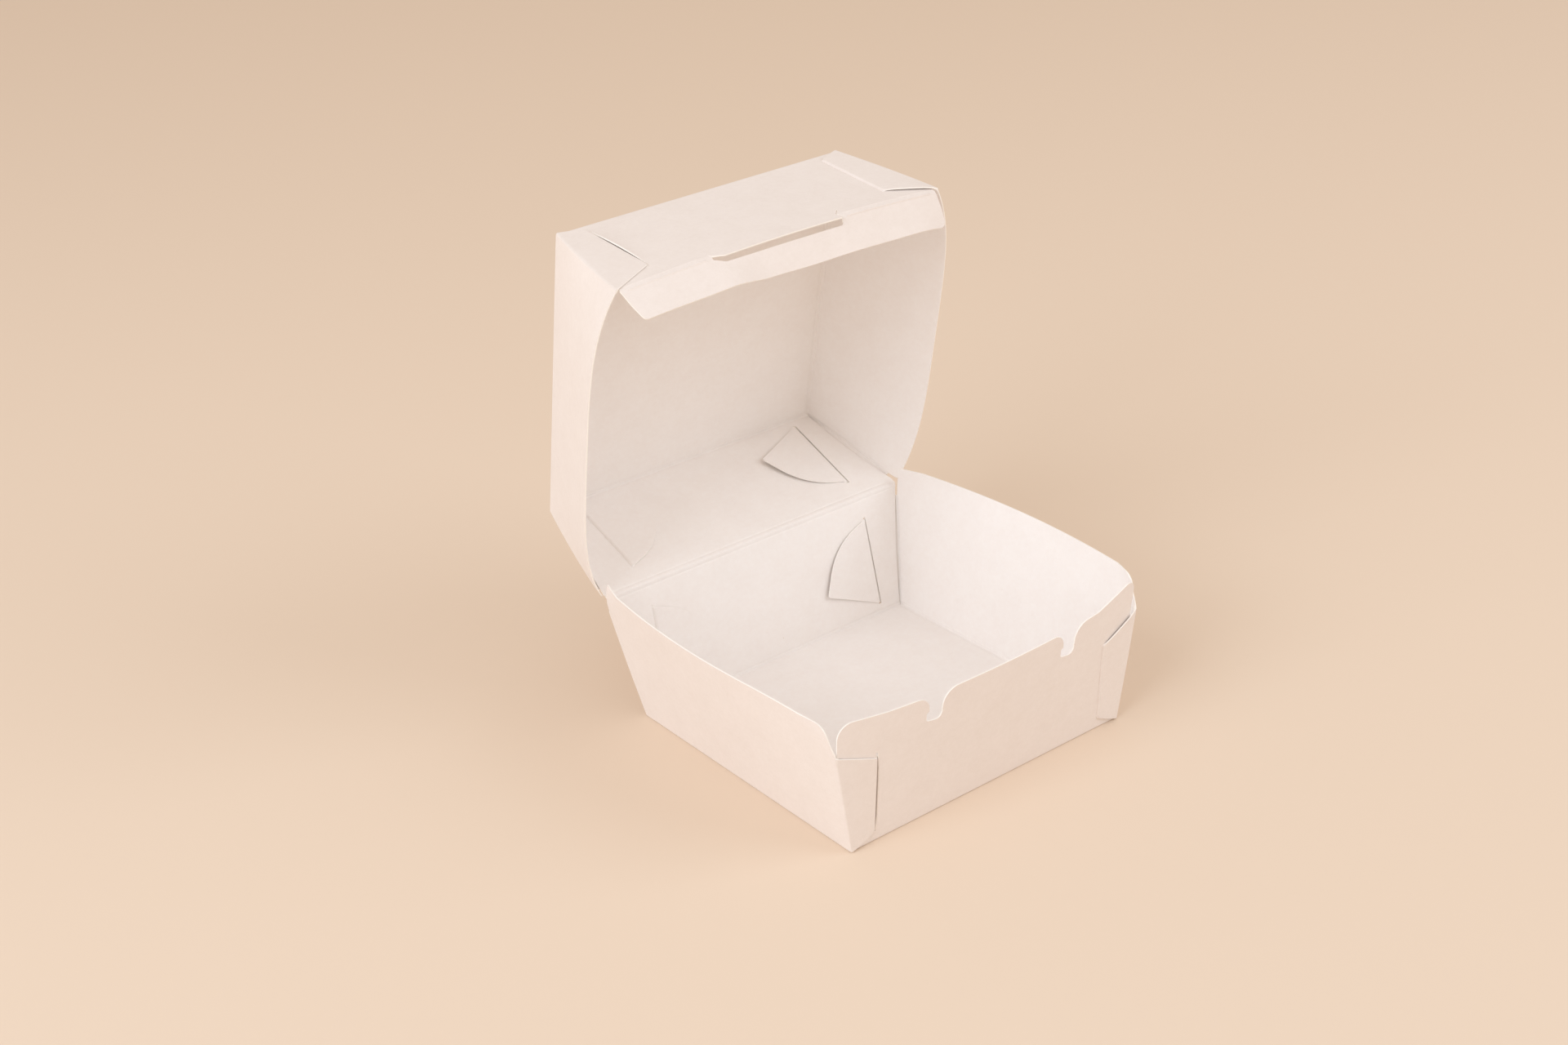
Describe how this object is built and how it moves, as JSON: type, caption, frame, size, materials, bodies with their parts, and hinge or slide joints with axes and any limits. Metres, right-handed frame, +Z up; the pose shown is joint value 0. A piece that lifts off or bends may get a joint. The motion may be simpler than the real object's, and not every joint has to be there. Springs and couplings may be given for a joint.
{
  "type": "takeaway box",
  "caption": "Square folded paperboard clamshell box, standing open: flared tray with a locking tongue, hinged lid with a slot, and a tuck lip",
  "frame": {"origin": "middle of the tray's floor, on the surface that the box stands on", "axes": "+Z up, +X along the hinge to the box's left seen from behind (right seen from the front), -Y towards the front of the tray"},
  "size_m": [0.1362, 0.1579, 0.158],
  "materials": {
    "paperboard": "matt uncoated white board, faintly mottled"
  },
  "bodies": {
    "tray": {"tray": "paperboard"},
    "lid": {"lid": "paperboard"},
    "tuck_flap": {"tuck_flap": "paperboard"}
  },
  "joints": [
    {"name": "lid_hinge", "type": "hinge", "parent": "tray", "child": "lid", "pos_m": [0, 0.0589, 0.0423], "axis": [-1, 0, 0], "range_deg": [-75.7, 104]},
    {"name": "tuck_fold", "type": "hinge", "parent": "lid", "child": "tuck_flap", "pos_m": [0, 0.0311, 0.15136], "axis": [1, 0, 0], "range_deg": [0, 60]}
  ]
}
